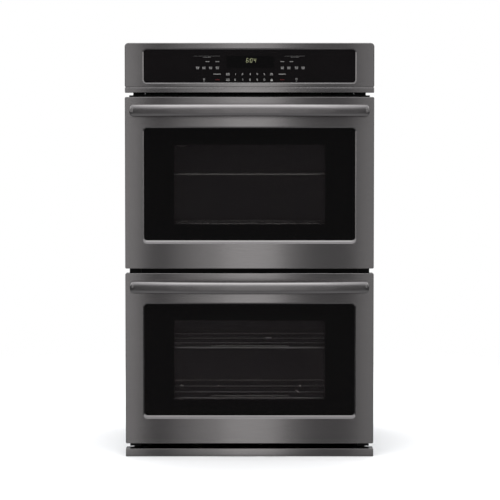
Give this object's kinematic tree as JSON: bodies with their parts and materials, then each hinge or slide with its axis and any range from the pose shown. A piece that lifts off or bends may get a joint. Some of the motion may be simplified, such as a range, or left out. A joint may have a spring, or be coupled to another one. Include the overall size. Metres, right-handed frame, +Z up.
{
  "type": "double wall oven",
  "caption": "Built-in double electric wall oven with touch control panel, two drop-down glass doors with bowed handles, and sliding wire racks.",
  "frame": {"origin": "on the floor of the cabinet cut-out, at the middle of the oven's width and of its depth, handles included", "axes": "+X to the oven's right seen from the front, -Y out through the doors, +Z up"},
  "size_m": [0.762, 0.692, 1.27],
  "materials": {
    "black_stainless": "brushed",
    "black_glass": "polished",
    "clear_glass": "polished",
    "black_sheet": "satin",
    "galvanised_sheet": "satin",
    "cavity_enamel": "gloss",
    "chrome_wire": "polished",
    "element_sheath": "matte",
    "wool_blanket": "matte",
    "woven_gasket": "matte",
    "circuit_board": "satin",
    "motor_black": "matte",
    "black_plastic": "matte"
  },
  "bodies": {
    "oven_case": {"side_panel_left": "galvanised_sheet", "side_panel_right": "galvanised_sheet", "top_cover": "galvanised_sheet", "base_pan": "galvanised_sheet", "rear_panel": "galvanised_sheet", "centre_deck": "black_sheet", "side_trim_left": "black_sheet", "side_trim_right": "black_sheet", "bottom_trim": "black_stainless", "vent_trim": "black_sheet", "terminal_box": "galvanised_sheet", "control_fascia": "black_stainless", "touch_glass": "black_glass", "control_board": "circuit_board", "cooling_fan_housing": "galvanised_sheet", "cooling_fan_motor": "motor_black", "upper_cavity": "cavity_enamel", "upper_gasket": "woven_gasket", "upper_insulation": "wool_blanket", "upper_bake_element": "element_sheath", "upper_broil_element": "element_sheath", "upper_lamp_cover": "clear_glass", "upper_temperature_probe": "chrome_wire", "upper_latch_motor": "motor_black", "upper_hinge_arm_left": "galvanised_sheet", "upper_hinge_arm_right": "galvanised_sheet", "lower_cavity": "cavity_enamel", "lower_gasket": "woven_gasket", "lower_insulation": "wool_blanket", "lower_bake_element": "element_sheath", "lower_broil_element": "element_sheath", "lower_lamp_cover": "clear_glass", "lower_temperature_probe": "chrome_wire", "lower_latch_motor": "motor_black", "lower_hinge_arm_left": "galvanised_sheet", "lower_hinge_arm_right": "galvanised_sheet"},
    "upper_door": {"upper_door_skin": "black_stainless", "upper_outer_glass": "black_glass", "upper_door_liner": "cavity_enamel", "upper_inner_glass": "clear_glass", "upper_handle": "black_stainless", "upper_hinge_channel_left": "galvanised_sheet", "upper_hinge_channel_right": "galvanised_sheet"},
    "upper_rack_high": {"upper_rack_high": "chrome_wire"},
    "upper_rack_low": {"upper_rack_low": "chrome_wire"},
    "upper_switch_plunger": {"upper_switch_plunger": "black_plastic"},
    "upper_latch_hook": {"upper_latch_hook": "galvanised_sheet"},
    "lower_door": {"lower_door_skin": "black_stainless", "lower_outer_glass": "black_glass", "lower_door_liner": "cavity_enamel", "lower_inner_glass": "clear_glass", "lower_handle": "black_stainless", "lower_hinge_channel_left": "galvanised_sheet", "lower_hinge_channel_right": "galvanised_sheet"},
    "lower_rack_high": {"lower_rack_high": "chrome_wire"},
    "lower_rack_low": {"lower_rack_low": "chrome_wire"},
    "lower_switch_plunger": {"lower_switch_plunger": "black_plastic"},
    "lower_latch_hook": {"lower_latch_hook": "galvanised_sheet"},
    "cooling_fan_wheel": {"cooling_fan_wheel": "galvanised_sheet"}
  },
  "joints": [
    {"name": "upper_door_hinge", "type": "hinge", "parent": "oven_case", "child": "upper_door", "pos_m": [0, -0.263, 0.594], "axis": [1, 0, 0], "range_deg": [0, 90], "stiffness_Nm_per_rad": 24, "springref_deg": -20.05},
    {"name": "upper_rack_high_slide", "type": "slide", "parent": "oven_case", "child": "upper_rack_high", "axis": [0, -1, 0], "range_m": [0, 0.315]},
    {"name": "upper_rack_low_slide", "type": "slide", "parent": "oven_case", "child": "upper_rack_low", "axis": [0, -1, 0], "range_m": [0, 0.22]},
    {"name": "upper_switch_plunger_slide", "type": "slide", "parent": "oven_case", "child": "upper_switch_plunger", "axis": [0, -1, 0], "range_m": [0, 0.005]},
    {"name": "upper_latch_hook_pivot", "type": "hinge", "parent": "oven_case", "child": "upper_latch_hook", "pos_m": [0, -0.213, 1.092], "axis": [0, 0, 1], "range_deg": [0, 25]},
    {"name": "lower_door_hinge", "type": "hinge", "parent": "oven_case", "child": "lower_door", "pos_m": [0, -0.263, 0.0545], "axis": [1, 0, 0], "range_deg": [0, 90], "stiffness_Nm_per_rad": 24, "springref_deg": -20.05},
    {"name": "lower_rack_high_slide", "type": "slide", "parent": "oven_case", "child": "lower_rack_high", "axis": [0, -1, 0], "range_m": [0, 0.315]},
    {"name": "lower_rack_low_slide", "type": "slide", "parent": "oven_case", "child": "lower_rack_low", "axis": [0, -1, 0], "range_m": [0, 0.22]},
    {"name": "lower_switch_plunger_slide", "type": "slide", "parent": "oven_case", "child": "lower_switch_plunger", "axis": [0, -1, 0], "range_m": [0, 0.005]},
    {"name": "lower_latch_hook_pivot", "type": "hinge", "parent": "oven_case", "child": "lower_latch_hook", "pos_m": [0, -0.213, 0.5525], "axis": [0, 0, 1], "range_deg": [0, 25]},
    {"name": "cooling_fan_spin", "type": "hinge", "parent": "oven_case", "child": "cooling_fan_wheel", "pos_m": [0, 0.212, 1.145], "axis": [0, 0, 1], "continuous": true}
  ],
  "couplings": [
    {"joint": "upper_rack_high_slide", "follows": "upper_door_hinge", "m_per_rad": 0.2},
    {"joint": "upper_rack_low_slide", "follows": "upper_door_hinge", "m_per_rad": 0.14},
    {"joint": "upper_switch_plunger_slide", "follows": "upper_door_hinge", "m_per_rad": 0.00318},
    {"joint": "lower_rack_high_slide", "follows": "lower_door_hinge", "m_per_rad": 0.2},
    {"joint": "lower_rack_low_slide", "follows": "lower_door_hinge", "m_per_rad": 0.14},
    {"joint": "lower_switch_plunger_slide", "follows": "lower_door_hinge", "m_per_rad": 0.00318}
  ]
}
